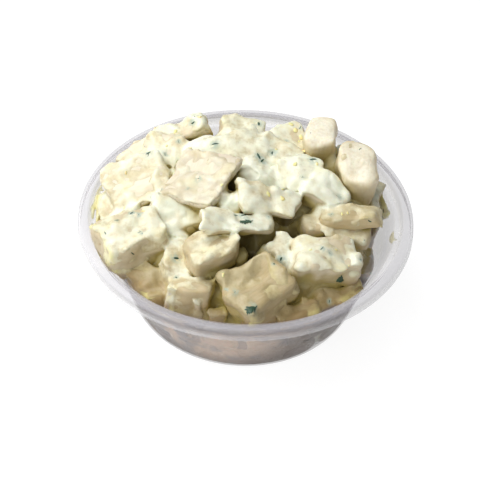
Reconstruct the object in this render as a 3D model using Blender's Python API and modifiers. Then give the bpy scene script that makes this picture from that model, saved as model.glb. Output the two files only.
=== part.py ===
"""Hearts of palm salad in a round, clear plastic deli tub.

Two pieces, in metres, +Z up, with the origin at the middle of the tub's foot:
tub    one thin moulded wall: foot ring, sloping body, lid seat, lip and skirt
salad  the creamy heap: a core that fills the tub, the cut pieces of palm heart that show,
       and the larger flecks of dill, all fused into one solid
"""

import math
import random
from typing import NamedTuple

import bmesh
import bpy
from mathutils import Matrix, Vector
from mathutils.bvhtree import BVHTree

MM = 0.001

# The tub, which drives every other size
TUB_HEIGHT = 48.0 * MM
RIM_RADIUS = 72.5 * MM
BASE_RADIUS = 53.5 * MM
BODY_TOP_RADIUS = 61.8 * MM
BODY_TOP_Z = 38.6 * MM
WALL = 0.8 * MM
FOOT_RING_WIDTH = 7.0 * MM
FOOT_RECESS = 0.8 * MM
BASE_CORNER = 3.4 * MM
SEAT_Z = 43.6 * MM
SEAT_INNER_RADIUS = 64.6 * MM
SEAT_OUTER_RADIUS = 66.5 * MM
LIP_INNER_RADIUS = 67.0 * MM
SKIRT_DROP = 4.2 * MM
SKIRT_FLARE = 0.5 * MM
TURN_STEPS = 60

# The heap
WALL_GAP = 0.3 * MM
CORE_WALL_Z = 27.0 * MM
CORE_TOP_Z = 49.0 * MM
CORE_STEPS = 40
LIMIT_ABOVE_RIM = 40.0 * MM
CORNER_SHIFT = 0.13
SEED = 11


class Piece(NamedTuple):
    """One knife-cut piece, in millimetres and degrees. The angles are turn about Z, tilt, which
    brings the top face towards -Y, and lean, which brings it towards +X. Taper is the share
    that the end at +X is smaller than the end at -X. The two hearts are the rounder cuts that
    stand up at the back right, and their long side is their height."""

    name: str
    centre: tuple
    size: tuple
    angles: tuple
    corner: float = 3.0
    taper: float = 0.0


# Pieces of palm heart that show from above, from the back of the tub to the front
NAMED_PIECES = (
    Piece("back_left_ridge", (-29, 38, 56), (27, 14, 14), (20, 30, -10), 2.4, 0.1),
    Piece("back_centre_left", (-3, 37, 54), (22, 17, 15), (-8, 20, 0), 3.4),
    Piece("back_centre_right", (18, 33, 54), (16, 15, 14), (25, 15, 5), 2.8),
    Piece("back_centre_front", (12, 20, 57), (22, 16, 15), (-20, 25, 8), 3.0, 0.15),
    Piece("heart_left", (32.5, 25.5, 59.8), (21, 15, 19.5), (-88, -76, 0), 3.0),
    Piece("heart_right", (47, 7.6, 59.2), (18, 16.5, 19.5), (-96, -68, 0), 3.0),
    Piece("behind_hearts", (49, 27, 49), (16, 10, 12), (-60, 10, 10), 3.0),
    Piece("big_slab", (-18, -3.8, 62.5), (23.5, 24.5, 7.5), (66, 7, -16), 1.6),
    Piece("behind_slab", (-5, 18, 58), (24, 18, 15), (30, 18, 0), 4.0),
    Piece("middle_slab", (8, -13, 59), (26.5, 13, 7), (-2, 12, 13), 2.2, 0.1),
    Piece("wedge", (-4, -26, 59.5), (29.5, 11.5, 5), (11, 7, 17), 1.6, 0.15),
    Piece("left_side", (-47, 5, 49), (28, 22, 18), (15, 18, -10), 3.4),
    Piece("upper_left_inner", (-36, 25, 54), (20, 16, 14), (-25, 18, -5), 3.0),
    Piece("upper_left_outer", (-47, 24, 50), (20, 14, 13), (40, 15, -15), 3.0),
    Piece("front_left_cube", (-45, -28, 46.5), (23, 23, 20), (27, 4, -2), 2.6),
    Piece("cream_lump", (-30, -15, 50), (19, 18, 15), (10, 20, 0), 5.0),
    Piece("under_slab", (-15, -12, 52), (20, 15, 12), (5, 20, 0), 4.0),
    Piece("front_cube", (-15, -34.5, 51), (17.5, 15.5, 16), (35, 5, 2), 2.6),
    Piece("front_face", (-21, -51, 40), (17, 9, 21), (-6, -8, 0), 2.2, 0.1),
    Piece("front_big", (5, -48.5, 44.2), (25, 20, 17), (36, 14, -8), 2.4, 0.1),
    Piece("right_front", (30.5, -35, 48.5), (25, 16, 15), (8, 8, 5), 2.6),
    Piece("flat_disc", (44, -15.6, 55), (23.2, 8.8, 5), (-4, 2, -5), 1.8),
    Piece("under_disc", (42.5, -18, 47), (18, 12, 9), (-10, 8, 0), 3.0),
    Piece("right_lump_back", (24, 4, 58), (17, 15, 14), (15, 15, 0), 4.0),
    Piece("right_lump_front", (33, -3.5, 56), (19, 17, 13), (-28, 20, 5), 2.6, 0.2),
    Piece("right_small", (28, -15, 47), (11, 11, 11), (10, 15, 0), 3.0),
    Piece("rim_left_low", (-38, -42, 38), (22, 12, 15), (-46, 10, 0), 2.6),
    Piece("rim_front_right", (22, -53, 37), (20, 8, 11), (14, 12, 0), 2.4),
    Piece("rim_right_low", (41, -43, 35), (15, 9, 11), (42, 10, 0), 2.4),
    Piece("rim_front_small", (-9, -55.5, 37.5), (7.5, 6, 8), (20, 10, 0), 1.8),
    Piece("pocket_small", (-2, -32, 45), (6.5, 6.5, 8), (30, 10, 0), 2.0),
    Piece("pocket_strand", (14.5, -31.5, 47.5), (8, 17, 12), (5, 20, 0), 2.8),
    Piece("rim_right_back", (57, 8, 42), (6, 18, 11), (-8, 0, 10), 2.0),
    Piece("rim_left_high", (-57, -10, 42), (10, 18, 12), (12, 0, -8), 2.6),
    Piece("rim_left_front", (-55, -27, 37), (9, 15, 12), (28, 0, -8), 2.6),
    Piece("front_face_edge", (-29.5, -50, 38.5), (3.5, 10, 18), (-14, -6, 12), 1.0),
    Piece("front_face_strip", (-17, -55.5, 38), (3, 3, 15), (0, -6, -4), 0.9),
)
CREST_SEGMENTS = 2
FILLER_SEGMENTS = 1

# Pieces that fill the ring by the wall and the places between the ones above, by rule:
# (ring radius, height, count, mean size), in millimetres
FILLER_RINGS = (
    (52.0, 33.5, 17, 17.0),
    (45.0, 41.0, 13, 17.0),
    (32.0, 47.0, 9, 17.0),
    (17.0, 51.0, 5, 17.0),
)
FILLER_CLEARANCE = 13.0
# Where the tub is left part empty: direction in degrees from +X, half its angle, and how far in
# from the wall it reaches
GAP_DIRECTION = -22.0
GAP_HALF_WIDTH = 19.0
GAP_INNER_RADIUS = 41.0

# Larger flecks of dill: (x, y, turn, length) in millimetres and degrees
FLECKS = (
    (2.0, -58.5, 25, 5.5),
    (37.0, -43.5, 75, 5.0),
    (1.0, -28.0, 35, 4.4),
    (-24.0, 41.0, 10, 4.2),
    (4.0, 36.0, -20, 4.2),
    (10.0, 17.0, 40, 4.2),
    (-10.0, 17.0, 10, 4.2),
    (-45.0, -20.0, 50, 4.0),
    (-42.0, 22.0, 35, 4.0),
    (13.0, -8.0, 80, 4.0),
)
FLECK_WIDTH = 1.7
FLECK_HEIGHT = 1.3

PLASTIC = (0.80, 0.80, 0.84, 1.0)
CREAM = (0.86, 0.83, 0.66, 1.0)


def clear_scene():
    for obj in list(bpy.data.objects):
        bpy.data.objects.remove(obj, do_unlink=True)


def new_collection(name):
    made = bpy.data.collections.new(name)
    bpy.context.scene.collection.children.link(made)
    return made


def material(name, colour, roughness, metallic=0.0, transmission=0.0):
    made = bpy.data.materials.new(name)
    made.use_nodes = True
    shader = made.node_tree.nodes["Principled BSDF"]
    shader.inputs["Base Color"].default_value = colour
    shader.inputs["Roughness"].default_value = roughness
    shader.inputs["Metallic"].default_value = metallic
    shader.inputs["Transmission Weight"].default_value = transmission
    return made


def arc(centre_r, centre_z, radius, start, end, steps):
    """Points of an arc in the (radius, height) plane, angles in degrees from the outward direction."""
    points = []
    for i in range(steps + 1):
        angle = math.radians(start + (end - start) * i / steps)
        points.append((centre_r + radius * math.cos(angle), centre_z + radius * math.sin(angle)))
    return points


def turned(name, profile, steps, collection):
    """A solid of revolution: the profile's points run down its outer side, top to bottom."""
    mesh = bpy.data.meshes.new(name)
    mesh.from_pydata(
        [(r, 0.0, z) for r, z in profile],
        [(i, i + 1) for i in range(len(profile) - 1)],
        [],
    )
    obj = bpy.data.objects.new(name, mesh)
    collection.objects.link(obj)
    screw = obj.modifiers.new("turn", "SCREW")
    screw.axis = "Z"
    screw.angle = math.tau
    screw.steps = steps
    screw.render_steps = steps
    screw.use_merge_vertices = True
    screw.merge_threshold = 1e-5
    return obj


def body_radius(z):
    """Outer radius of the tub's sloping body at a height."""
    share = (z - BASE_CORNER) / (BODY_TOP_Z - BASE_CORNER)
    return BASE_RADIUS + (BODY_TOP_RADIUS - BASE_RADIUS) * share


def inner_profile(gap):
    """The tub's inner surface from the floor's middle up to the lip, moved inwards by a gap."""
    inset = WALL + gap
    floor = FOOT_RECESS + inset
    corner = BASE_CORNER - WALL
    return (
        [(0.0, floor)]
        + arc(BASE_RADIUS - inset - corner, floor + corner, corner, -90, 0, 4)
        + [
            (BODY_TOP_RADIUS - inset, BODY_TOP_Z),
            (BODY_TOP_RADIUS + 0.9 * MM - gap, BODY_TOP_Z + 0.7 * MM),
            (SEAT_INNER_RADIUS - gap, SEAT_Z - 0.4 * MM),
            (SEAT_INNER_RADIUS + 0.4 * MM - gap, SEAT_Z),
            (SEAT_OUTER_RADIUS - gap, SEAT_Z),
            (LIP_INNER_RADIUS - gap, TUB_HEIGHT - 0.8 * MM),
        ]
    )


def build_tub(collection):
    """One wall: lip and skirt, underside of the seat, body and foot ring outside, then back up inside."""
    lip_round = 0.8 * MM
    skirt_bottom = TUB_HEIGHT - SKIRT_DROP
    skirt_top_radius = RIM_RADIUS - SKIRT_FLARE
    under_lip = TUB_HEIGHT - 1.1 * MM
    foot_inner = BASE_RADIUS - BASE_CORNER - FOOT_RING_WIDTH
    outside = (
        [(LIP_INNER_RADIUS + 0.9 * MM, TUB_HEIGHT)]
        + arc(skirt_top_radius - lip_round, TUB_HEIGHT - lip_round, lip_round, 90, 0, 3)
        + [
            (skirt_top_radius + 0.1 * MM, skirt_bottom + 0.9 * MM),
            (RIM_RADIUS, skirt_bottom + 0.6 * MM),
            (RIM_RADIUS, skirt_bottom),
            (skirt_top_radius - 0.8 * MM, skirt_bottom),
            (skirt_top_radius - 1.0 * MM, under_lip - 0.4 * MM),
            (skirt_top_radius - 1.5 * MM, under_lip),
            (LIP_INNER_RADIUS + 1.2 * MM, under_lip),
            (SEAT_OUTER_RADIUS + 0.9 * MM, SEAT_Z - 0.3 * MM),
            (SEAT_OUTER_RADIUS + 0.4 * MM, SEAT_Z - WALL),
            (SEAT_INNER_RADIUS + 0.9 * MM, SEAT_Z - WALL - 0.2 * MM),
            (BODY_TOP_RADIUS + 1.6 * MM, BODY_TOP_Z + 0.5 * MM),
            (BODY_TOP_RADIUS, BODY_TOP_Z - 0.5 * MM),
        ]
        + arc(BASE_RADIUS - BASE_CORNER, BASE_CORNER, BASE_CORNER, 0, -90, 5)
        + [
            (foot_inner, 0.0),
            (foot_inner - 0.8 * MM, FOOT_RECESS),
            (0.0, FOOT_RECESS),
        ]
    )
    inside = inner_profile(0.0)
    tub = turned("tub", outside + inside + outside[:1], TURN_STEPS, collection)
    tub.data.materials.append(material("clear_plastic", PLASTIC, 0.3, transmission=0.7))
    return tub


def build_limit(collection):
    """The room the salad may fill: the tub's inside less a gap, carried straight up past the rim."""
    inside = inner_profile(WALL_GAP)
    top_radius = inside[-1][0]
    top = TUB_HEIGHT + LIMIT_ABOVE_RIM
    profile = [(0.0, top), (top_radius, top)] + inside[::-1]
    limit = turned("fill_limit", profile, TURN_STEPS, collection)
    limit.hide_render = True
    limit.display_type = "WIRE"
    return limit


def build_core(collection):
    """The middle of the heap: the filled tub with a low dome, which the cut pieces stand out of."""
    inside = [p for p in inner_profile(WALL_GAP + 0.2 * MM) if p[1] < CORE_WALL_Z]
    wall_radius = body_radius(CORE_WALL_Z) - WALL - WALL_GAP - 0.2 * MM
    shoulder = []
    steps = 7
    for i in range(steps + 1):
        share = i / steps
        height = CORE_WALL_Z + (CORE_TOP_Z - CORE_WALL_Z) * math.sin(share * math.pi / 2) ** 0.9
        shoulder.append((wall_radius * math.cos(share * math.pi / 2) ** 0.75, height))
    shoulder[-1] = (0.0, CORE_TOP_Z)
    core = turned("core", shoulder[::-1] + inside[::-1], CORE_STEPS, collection)
    core.hide_render = True
    return core


def rotation(turn, tilt, lean):
    """Turn about Z first, then lean about Y, then tilt about X."""
    return (
        Matrix.Rotation(math.radians(tilt), 4, "X")
        @ Matrix.Rotation(math.radians(lean), 4, "Y")
        @ Matrix.Rotation(math.radians(turn), 4, "Z")
    )


def add_piece(piece, seed, segments, collection):
    """A knife-cut piece: a box whose eight corners are moved a little, with rounded edges."""
    rng = random.Random(seed)
    mesh = bpy.data.meshes.new(piece.name)
    bm = bmesh.new()
    bmesh.ops.create_cube(bm, size=1.0)
    for vertex in bm.verts:
        signs = [1 if value > 0 else -1 for value in vertex.co]
        corner = [0.5 * sign + rng.uniform(-CORNER_SHIFT, CORNER_SHIFT) for sign in signs]
        narrowed = 1 - 0.5 * piece.taper * (1 + signs[0])
        corner = [corner[0], corner[1] * narrowed, corner[2] * narrowed]
        vertex.co = Vector(value * length * MM for value, length in zip(corner, piece.size))
    bm.to_mesh(mesh)
    bm.free()
    obj = bpy.data.objects.new(piece.name, mesh)
    collection.objects.link(obj)
    obj.matrix_world = Matrix.Translation(Vector(piece.centre) * MM) @ rotation(*piece.angles)
    bevel = obj.modifiers.new("rounded", "BEVEL")
    bevel.width = piece.corner * MM
    bevel.segments = segments
    bevel.limit_method = "NONE"
    obj.hide_render = True
    return obj


def filler_pieces():
    """Pieces on rings, each turned and sized by a seeded draw, where no named piece already lies."""
    rng = random.Random(SEED)
    centres = [Vector(piece.centre) for piece in NAMED_PIECES]
    made = []
    for ring, (radius, height, count, mean) in enumerate(FILLER_RINGS):
        for i in range(count):
            angle = math.tau * (i + 0.5 * (ring % 2) + rng.uniform(-0.2, 0.2)) / count
            centre = Vector((radius * math.cos(angle), radius * math.sin(angle), height))
            centre.z += rng.uniform(-2.0, 2.0)
            size = tuple(mean * rng.uniform(0.75, 1.15) for _ in range(3))
            angles = (rng.uniform(0, 90), rng.uniform(-25, 25), rng.uniform(-25, 25))
            off = (math.degrees(angle) - GAP_DIRECTION + 180) % 360 - 180
            in_gap = abs(off) < GAP_HALF_WIDTH and radius > GAP_INNER_RADIUS
            near = min((centre - other).length for other in centres)
            if in_gap or near < FILLER_CLEARANCE:
                continue
            centres.append(centre)
            made.append(Piece(f"filler_{ring}_{i}", tuple(centre), size, angles))
    return made


def as_mesh(obj):
    """The object's evaluated shape as a plain mesh in world space."""
    graph = bpy.context.evaluated_depsgraph_get()
    mesh = bpy.data.meshes.new_from_object(obj.evaluated_get(graph))
    mesh.transform(obj.matrix_world)
    return mesh


def apply_boolean(target, operation, other):
    """Joins or cuts with a collection or an object, and keeps the result as the target's mesh."""
    boolean = target.modifiers.new(operation.lower(), "BOOLEAN")
    boolean.operation = operation
    boolean.solver = "MANIFOLD"
    if isinstance(other, bpy.types.Collection):
        boolean.operand_type = "COLLECTION"
        boolean.collection = other
    else:
        boolean.object = other
    mesh = as_mesh(target)
    target.modifiers.clear()
    target.data = mesh
    target.matrix_world = Matrix.Identity(4)


def keep_largest_body(mesh):
    """Drops loose scraps and the shells of sealed hollows, so that one closed body is left."""
    bm = bmesh.new()
    bm.from_mesh(mesh)
    bmesh.ops.triangulate(bm, faces=bm.faces)
    waiting = set(bm.faces)
    bodies = []
    while waiting:
        front = [waiting.pop()]
        body = list(front)
        while front:
            face = front.pop()
            for edge in face.edges:
                for other in edge.link_faces:
                    if other in waiting:
                        waiting.remove(other)
                        front.append(other)
                        body.append(other)
        bodies.append(body)
    bodies.sort(key=len, reverse=True)
    loose = [face for body in bodies[1:] for face in body]
    if loose:
        bmesh.ops.delete(bm, geom=loose, context="FACES")
    bm.to_mesh(mesh)
    bm.free()


def add_fleck(index, tree, x, y, turn, length, collection):
    """A flat sliver of dill lying on the heap where a plumb line at (x, y) meets it."""
    start = Vector((x * MM, y * MM, TUB_HEIGHT + LIMIT_ABOVE_RIM))
    point, normal, _, _ = tree.ray_cast(start, Vector((0, 0, -1)))
    mesh = bpy.data.meshes.new(f"fleck_{index}")
    bm = bmesh.new()
    bmesh.ops.create_icosphere(bm, subdivisions=1, radius=0.5)
    for vertex in bm.verts:
        size = (length, FLECK_WIDTH, FLECK_HEIGHT)
        vertex.co = Vector(value * side * MM for value, side in zip(vertex.co, size))
    bm.to_mesh(mesh)
    bm.free()
    obj = bpy.data.objects.new(f"fleck_{index}", mesh)
    collection.objects.link(obj)
    facing = normal.to_track_quat("Z", "Y").to_matrix().to_4x4()
    spin = Matrix.Rotation(math.radians(turn), 4, "Z")
    obj.matrix_world = Matrix.Translation(point + normal * 0.1 * MM) @ facing @ spin
    obj.hide_render = True


def remove_all(collection):
    for obj in list(collection.objects):
        bpy.data.objects.remove(obj, do_unlink=True)
    bpy.data.collections.remove(collection)


def build_salad(collection):
    """Core and pieces joined, cut to the tub's inside, with the flecks of dill fused on."""
    pieces = new_collection("salad_pieces")
    cutters = new_collection("cutters")
    for number, piece in enumerate(NAMED_PIECES):
        add_piece(piece, SEED + number, CREST_SEGMENTS, pieces)
    for number, piece in enumerate(filler_pieces(), len(NAMED_PIECES)):
        add_piece(piece, SEED + number, FILLER_SEGMENTS, pieces)
    salad = build_core(collection)
    salad.name = "salad"
    limit = build_limit(cutters)
    bpy.context.view_layer.update()
    apply_boolean(salad, "UNION", pieces)
    apply_boolean(salad, "INTERSECT", limit)
    keep_largest_body(salad.data)
    flecks = new_collection("flecks")
    tree = BVHTree.FromObject(salad, bpy.context.evaluated_depsgraph_get())
    for index, (x, y, turn, length) in enumerate(FLECKS):
        add_fleck(index, tree, x, y, turn, length, flecks)
    bpy.context.view_layer.update()
    apply_boolean(salad, "UNION", flecks)
    keep_largest_body(salad.data)
    remove_all(pieces)
    remove_all(flecks)
    remove_all(cutters)
    salad.hide_render = False
    salad.data.materials.clear()
    salad.data.materials.append(material("creamy_salad", CREAM, 0.45))
    return salad


def main():
    clear_scene()
    parts = new_collection("hearts_of_palm_salad")
    build_tub(parts)
    salad = build_salad(parts)
    salad.data.shade_smooth()
    salad.data.set_sharp_from_angle(angle=math.radians(35))


main()
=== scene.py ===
"""Looks of a hearts of palm salad, heaped in a round, clear plastic deli tub.

Shapes are worked out in millimetres in the part's own frame and go into the meshes in metres.

The heap is worked out as fields, which are distances in millimetres that are negative inside.
Each cut piece has one, from its six cut faces, and the bare palm heart is where it is zero.
The dressing is where the smooth union of them all, less the coat's thickness, is zero.
"""

import itertools
import math
import random
from typing import NamedTuple

import bmesh
import bpy
import numpy as np
from mathutils import Matrix, Vector
from mathutils.bvhtree import BVHTree


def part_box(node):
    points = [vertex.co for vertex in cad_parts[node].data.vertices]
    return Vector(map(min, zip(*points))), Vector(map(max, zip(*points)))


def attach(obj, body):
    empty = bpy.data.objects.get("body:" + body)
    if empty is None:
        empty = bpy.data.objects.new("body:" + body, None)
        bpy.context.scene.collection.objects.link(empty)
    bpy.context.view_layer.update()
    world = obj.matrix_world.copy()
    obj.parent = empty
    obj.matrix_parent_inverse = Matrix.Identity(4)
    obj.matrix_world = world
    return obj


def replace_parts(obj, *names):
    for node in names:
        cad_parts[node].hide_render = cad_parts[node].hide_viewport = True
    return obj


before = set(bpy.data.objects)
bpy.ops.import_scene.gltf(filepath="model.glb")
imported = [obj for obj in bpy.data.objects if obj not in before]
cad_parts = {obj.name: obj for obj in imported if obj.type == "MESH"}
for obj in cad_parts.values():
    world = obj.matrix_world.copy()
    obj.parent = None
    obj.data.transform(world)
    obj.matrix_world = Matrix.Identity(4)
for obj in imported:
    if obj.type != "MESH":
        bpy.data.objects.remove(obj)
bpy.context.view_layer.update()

MM = 0.001
tub_low, tub_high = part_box("tub")
salad_low, salad_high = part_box("salad")

# The tub, in millimetres: its rim and height are the frame's
TUB_HEIGHT = tub_high.z / MM
RIM_RADIUS = tub_high.x / MM
BASE_RADIUS = 53.5
BASE_CORNER = 3.4
BODY_TOP_RADIUS = 61.8
BODY_TOP_Z = 38.6
WALL = 0.8
FOOT_RING_WIDTH = 7.0
FOOT_RECESS = 0.8
SEAT_Z = 43.6
SEAT_INNER_RADIUS = 64.6
SEAT_OUTER_RADIUS = 66.5
LIP_INNER_RADIUS = 67.0
SKIRT_DROP = 4.2
SKIRT_FLARE = 0.5
TUB_STEPS = 256

# The heap, in millimetres, with the draws that its solid has too
SEED = 11
CORNER_SHIFT = 0.13
FILLER_RINGS = (
    (52.0, 33.5, 17, 17.0),
    (45.0, 41.0, 13, 17.0),
    (32.0, 47.0, 9, 17.0),
    (17.0, 51.0, 5, 17.0),
)
FILLER_CLEARANCE = 13.0
GAP_DIRECTION = -22.0
GAP_HALF_WIDTH = 19.0
GAP_INNER_RADIUS = 41.0


class Cut(NamedTuple):
    """One knife-cut piece, in millimetres and degrees. Taper is the share that the end at +X is
    smaller. Coat is how much dressing lies on it: 0 is bare, 1 well covered. Tone is the flesh's
    colour: -1 is olive tan, 0 tan, 1 ivory and 2 a pinkish cream. Rough is how craggy its faces
    are, in millimetres. A round one has its four long edges cut off, as a cut across a palm heart
    has."""

    centre: tuple
    size: tuple
    angles: tuple
    corner: float = 3.0
    taper: float = 0.0
    coat: float = 1.0
    tone: float = 0.3
    rough: float = 0.35
    round: bool = False


CUTS = {
    "back_left_ridge": Cut((-29, 38, 56), (27, 14, 14), (20, 30, -10), 2.4, 0.1, 0.5, 0.6, 0.6),
    "back_centre_left": Cut((-3, 37, 54), (22, 17, 15), (-8, 20, 0), 3.4),
    "back_centre_right": Cut((18, 33, 54), (16, 15, 14), (25, 15, 5), 2.8, 0, 0.6, 0.5, 0.7),
    "back_centre_front": Cut((12, 20, 57), (22, 16, 15), (-20, 25, 8), 3.0, 0.15, 0.8),
    "heart_left": Cut((32.5, 25.5, 59.8), (21, 15, 19.5), (-88, -76, 0), 2.8, 0, -0.5, 0.9, 0.05, True),
    "heart_right": Cut((47, 7.6, 59.2), (18, 16.5, 19.5), (-96, -68, 0), 3.0, 0, -0.5, 0.8, 0.05, True),
    "behind_hearts": Cut((49, 27, 49), (16, 10, 12), (-60, 10, 10), 3.0),
    "big_slab": Cut((-18, -3.8, 62.5), (23.5, 24.5, 7.5), (66, 7, -16), 1.6, 0, 0.2, 1.4, 0.9),
    "behind_slab": Cut((-5, 18, 58), (24, 18, 15), (30, 18, 0), 4.0),
    "middle_slab": Cut((8, -13, 59), (26.5, 13, 7), (-2, 12, 13), 2.2, 0.1, 0.7, 0.6, 0.6),
    "wedge": Cut((-4, -26, 59.5), (29.5, 11.5, 5), (11, 7, 17), 1.6, 0.15, 1.0, 0.45),
    "left_side": Cut((-47, 5, 49), (28, 22, 18), (15, 18, -10), 3.4, 0, 0.3, 1.1, 0.6),
    "upper_left_inner": Cut((-36, 25, 54), (20, 16, 14), (-25, 18, -5), 3.0, 0, 0.6, 0.8, 0.6),
    "upper_left_outer": Cut((-47, 24, 50), (20, 14, 13), (40, 15, -15), 3.0, 0, 0.4, 1.2, 0.5),
    "front_left_cube": Cut((-45, -28, 46.5), (23, 23, 20), (27, 4, -2), 2.6, 0, 0.6, 0.4, 0.6),
    "cream_lump": Cut((-30, -15, 50), (19, 18, 15), (10, 20, 0), 5.0, 0, 1.3, 0.8),
    "under_slab": Cut((-15, -12, 52), (20, 15, 12), (5, 20, 0), 4.0),
    "front_cube": Cut((-15, -34.5, 51), (17.5, 15.5, 16), (35, 5, 2), 2.6, 0, 0.3, 0.3, 0.6),
    "front_face": Cut((-21, -51, 40), (17, 9, 21), (-6, -8, 0), 2.2, 0.1, 0.2, 0.2, 0.4),
    # Its olive tan tone is partly painted shade of the heap's front.
    "front_big": Cut((5, -48.5, 44.2), (25, 20, 17), (36, 14, -8), 2.4, 0.1, 0.25, -0.45, 1.0),
    "right_front": Cut((30.5, -35, 48.5), (25, 16, 15), (8, 8, 5), 2.6, 0, 0.5, 0.5, 0.8),
    "flat_disc": Cut((44, -15.6, 55), (23.2, 8.8, 5), (-4, 2, -5), 1.8, 0, 0.4, 0.1, 0.5),
    "under_disc": Cut((42.5, -18, 47), (18, 12, 9), (-10, 8, 0), 3.0, 0, 0.3, 0.3, 0.5),
    "right_lump_back": Cut((24, 4, 58), (17, 15, 14), (15, 15, 0), 4.0, 0, 1.3, 0.4),
    "right_lump_front": Cut((33, -3.5, 56), (19, 17, 13), (-28, 20, 5), 2.6, 0.2, 1.2, 0.9),
    "right_small": Cut((28, -15, 47), (11, 11, 11), (10, 15, 0), 3.0, 0, 0.4, 0.2, 0.6),
    # The olive tan tones of these low front pieces are partly painted shade under the rim.
    "rim_left_low": Cut((-38, -42, 38), (22, 12, 15), (-46, 10, 0), 2.6, 0, 0.0, -0.6, 0.9),
    "rim_front_right": Cut((22, -53, 37), (20, 8, 11), (14, 12, 0), 2.4, 0, 0.1, -0.4, 0.7),
    "rim_right_low": Cut((41, -43, 35), (15, 9, 11), (42, 10, 0), 2.4, 0, 0.1, -0.6, 0.7),
    "rim_front_small": Cut((-9, -55.5, 37.5), (7.5, 6, 8), (20, 10, 0), 2.4),
    "pocket_small": Cut((-2, -32, 45), (6.5, 6.5, 8), (30, 10, 0), 2.6),
    "pocket_strand": Cut((14.5, -31.5, 47.5), (8, 17, 12), (5, 20, 0), 4.0, 0, 0.8, 0.2, 0.5),
    "rim_right_back": Cut((57, 8, 42), (6, 18, 11), (-8, 0, 10), 2.6),
    "rim_left_high": Cut((-57, -10, 42), (10, 18, 12), (12, 0, -8), 2.6, 0, 0.4, 0.4, 0.8),
    "rim_left_front": Cut((-55, -27, 37), (9, 15, 12), (28, 0, -8), 2.6, 0, 0.3, 0.3, 0.8),
    "front_face_edge": Cut((-29.5, -50, 38.5), (3.5, 10, 18), (-14, -6, 12), 1.2, 0, 0.8, 1.0, 0.2),
    "front_face_strip": Cut((-17, -55.5, 38), (3, 3, 15), (0, -6, -4), 1.2, 0, 0.8, 1.0, 0.3),
}
HEARTS = ("heart_left", "heart_right")

# Pieces low in the tub, which show through its wall and floor: (ring radius, height, count)
LOWER_RINGS = ((46.5, 9.0, 17), (49.5, 23.0, 18), (27.0, 8.0, 9), (9.0, 8.0, 3))
LOWER_SIZE = 17.0
LOWER_SEED = 500

# The grid that the fields are worked out on
GRID_STEP = 0.55
GRID_LIMIT = 67.6
GRID_LOW = 0.0
GRID_HIGH = 76.0
FAR = 9.0
REACH = 7.0

# The dressing
BLEND = 1.3
SKY_BLUR = 1.4
POOL_BLUR = 4.5
POOL_DROP = 7.5
POOL_BLEND = 4.0
COAT_MEAN = 0.65
COAT_UNDER = -0.35
COAT_FACING = (-0.15, 0.6)
SKIN_REACH = 0.3
FLESH_REACH = 0.4
DRESSING_TRIANGLES = 190000

# Mounds of dressing between the pieces: (x, y, height, radius), 6 mm lower at the radius
POOLS = (
    (5.0, 6.0, 61.0, 10.0),
    (9.0, 20.0, 62.0, 7.0),
    (23.0, 10.0, 62.0, 10.0),
    (-6.0, 28.0, 58.5, 8.0),
    (34.0, -9.0, 56.5, 6.0),
    (-28.0, -27.0, 51.5, 9.0),
    (-28.0, -38.0, 46.5, 6.0),
    (16.0, -40.0, 46.0, 8.0),
    (-40.0, 30.0, 55.0, 8.0),
    (-14.0, -14.0, 57.0, 6.0),
    (-52.0, -12.0, 48.0, 8.0),
    (-36.0, -6.0, 53.0, 7.0),
    (-18.0, 20.0, 64.5, 9.0),
    (-6.0, -6.5, 59.0, 5.0),
    (20.0, -37.0, 51.0, 7.0),
    (43.5, 26.0, 58.5, 6.0),
    (37.5, 17.0, 59.5, 6.0),
    (31.0, -46.0, 41.5, 7.0),
    (-6.5, -14.5, 64.0, 6.0),
    (-59.0, 4.0, 47.5, 9.0),
    (-47.0, -9.0, 51.5, 6.0),
    (8.5, -29.5, 52.5, 5.5),
    (13.5, -24.0, 54.0, 4.0),
)
POOL_FALL = 6.0
# Where it has left a hollow: (x, y, radius, how much lower)
HOLLOWS = (
    (-2.0, -26.0, 8.0, 10.0),
    (16.0, -23.0, 7.0, 13.0),
    (-7.0, -1.0, 4.5, 11.0),
    (-31.0, -40.0, 3.5, 6.0),
    (52.0, -28.0, 8.0, 9.0),
)
# The film of dressing on the tub's inner wall: (direction, half width, how high), in degrees
FILMS = (
    (150.0, 24.0, 46.0),
    (185.0, 16.0, 45.0),
    (208.0, 12.0, 43.5),
    (-18.0, 28.0, 14.0),
    (9.0, 12.0, 42.5),
)
FILM_LOW = 30.0
FILM_THICKNESS = 0.9

# Dill, in millimetres and degrees: (x, y, z, turn, length), seen along the camera's way
FRONDS = (
    (0.5, -26.8, 61.0, 25, 5.4),
    (3.0, -60.0, 48.0, 35, 5.0),
    (37.5, -46.0, 50.0, 80, 4.2),
)
SLIVERS = (
    (-25.0, 38.0, 62.0, 20, 2.2),
    (-14.0, 21.0, 62.0, 15, 3.4),
    (5.0, 41.0, 60.0, 100, 2.4),
    (5.0, 18.0, 58.0, 110, 4.2),
    (6.5, 15.0, 58.0, 60, 3.0),
    (11.0, 18.6, 60.0, 90, 1.6),
    (-43.0, 22.0, 55.0, 35, 2.6),
    (-46.0, -14.0, 52.0, 50, 1.8),
    (-27.0, -37.0, 50.0, 10, 2.4),
    (14.0, -38.0, 52.0, 70, 1.8),
    (44.0, -12.0, 60.0, 10, 2.2),
    (28.0, 12.0, 62.0, 0, 3.2),
    (-1.0, -24.0, 62.0, 20, 2.4),
)
SCATTERED_SLIVERS = 70

# Yellow crumbs, seen in the same way: (x, y, z, size)
CRUMBS = (
    (20.0, 41.0, 60.0, 1.6),
    (22.0, 37.0, 60.0, 1.4),
    (13.0, 42.0, 60.0, 1.3),
    (24.5, 33.0, 59.0, 1.4),
    (-22.0, 44.0, 60.0, 1.2),
    (-33.0, 36.0, 58.0, 1.2),
    (-52.0, 14.0, 50.0, 1.2),
)
SCATTERED_CRUMBS = 26

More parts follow.
